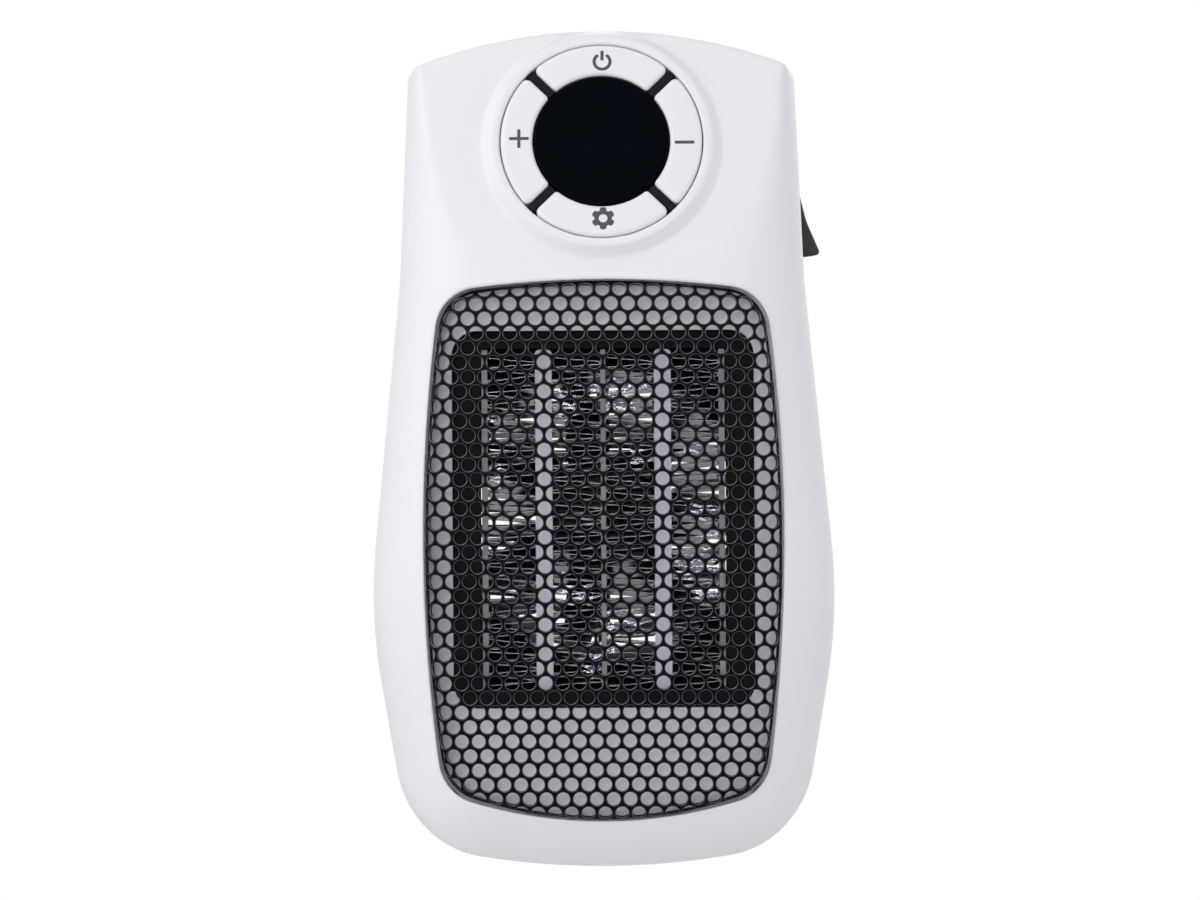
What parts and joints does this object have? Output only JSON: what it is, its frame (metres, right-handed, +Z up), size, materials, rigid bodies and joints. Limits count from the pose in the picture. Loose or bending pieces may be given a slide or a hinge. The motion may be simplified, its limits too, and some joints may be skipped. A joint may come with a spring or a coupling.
{
  "type": "plug-in fan heater",
  "caption": "Plug-in fan heater: a white housing with a tilted round display, ring buttons, a perforated grille over a finned element, a side rocker switch and a turning plug.",
  "frame": {"origin": "centre of the plug's flat face, midway between the two pins", "axes": "+Z up, the front of the heater looks along -Y, the plug pins point along +Y"},
  "size_m": [0.1104, 0.1076, 0.2],
  "materials": {
    "shell": "satin",
    "grille": "satin",
    "baffle": "matte",
    "black_plastic": "matte",
    "tube": "satin",
    "fins": "polished",
    "steel": "satin",
    "lens": "gloss",
    "cap": "satin",
    "rocker": "gloss",
    "board": "satin",
    "brass": "satin",
    "pins": "polished",
    "fan": "satin",
    "relay": "satin",
    "capacitor": "satin"
  },
  "bodies": {
    "plug": {"plug_body": "shell", "plug_pins": "pins", "turret_retainer": "black_plastic", "turret_screws": "steel", "contact_tracks": "brass"},
    "housing": {"front_shell": "shell", "rear_shell": "shell", "front_grille": "grille", "outlet_baffle": "baffle", "heater_bracket": "black_plastic", "ptc_tubes": "tube", "ptc_plates": "tube", "ptc_fins": "fins", "ptc_terminals": "brass", "thermostat": "black_plastic", "thermal_fuse": "steel", "fan_duct": "black_plastic", "fan_motor": "steel", "shell_screws": "steel", "duct_screws": "steel", "motor_screws": "steel", "display_lens": "lens", "button_frame": "rocker", "push_switches": "black_plastic", "control_board": "board", "display_module": "black_plastic", "board_screws": "steel", "switch_body": "black_plastic", "switch_terminals": "brass", "brush_contacts": "brass", "power_board": "board", "relay": "relay", "filter_capacitor": "capacitor"},
    "fan": {"fan_impeller": "fan", "motor_shaft": "steel"},
    "rocker": {"rocker_cap": "rocker"},
    "button_power": {"button_power": "cap", "plunger_power": "black_plastic"},
    "button_plus": {"button_plus": "cap", "plunger_plus": "black_plastic"},
    "button_minus": {"button_minus": "cap", "plunger_minus": "black_plastic"},
    "button_mode": {"button_mode": "cap", "plunger_mode": "black_plastic"}
  },
  "joints": [
    {"name": "plug_turn", "type": "hinge", "parent": "plug", "child": "housing", "pos_m": [0, 0, 0], "axis": [0, 1, 0], "range_deg": [-90, 90]},
    {"name": "fan_spin", "type": "hinge", "parent": "housing", "child": "fan", "pos_m": [0, -0.0478, -0.0726], "axis": [0, -1, 0], "continuous": true},
    {"name": "rocker_tilt", "type": "hinge", "parent": "housing", "child": "rocker", "pos_m": [0.04439, -0.03807, -0.00266], "axis": [-0.0522, 0.9986, -0.0023], "range_deg": [0, 26]},
    {"name": "power_press", "type": "slide", "parent": "housing", "child": "button_power", "axis": [0, 0.9563, -0.2924], "range_m": [0, 0.0005], "stiffness_N_per_m": 400},
    {"name": "plus_press", "type": "slide", "parent": "housing", "child": "button_plus", "axis": [0, 0.9563, -0.2924], "range_m": [0, 0.0005], "stiffness_N_per_m": 400},
    {"name": "minus_press", "type": "slide", "parent": "housing", "child": "button_minus", "axis": [0, 0.9563, -0.2924], "range_m": [0, 0.0005], "stiffness_N_per_m": 400},
    {"name": "mode_press", "type": "slide", "parent": "housing", "child": "button_mode", "axis": [0, 0.9563, -0.2924], "range_m": [0, 0.0005], "stiffness_N_per_m": 400}
  ]
}
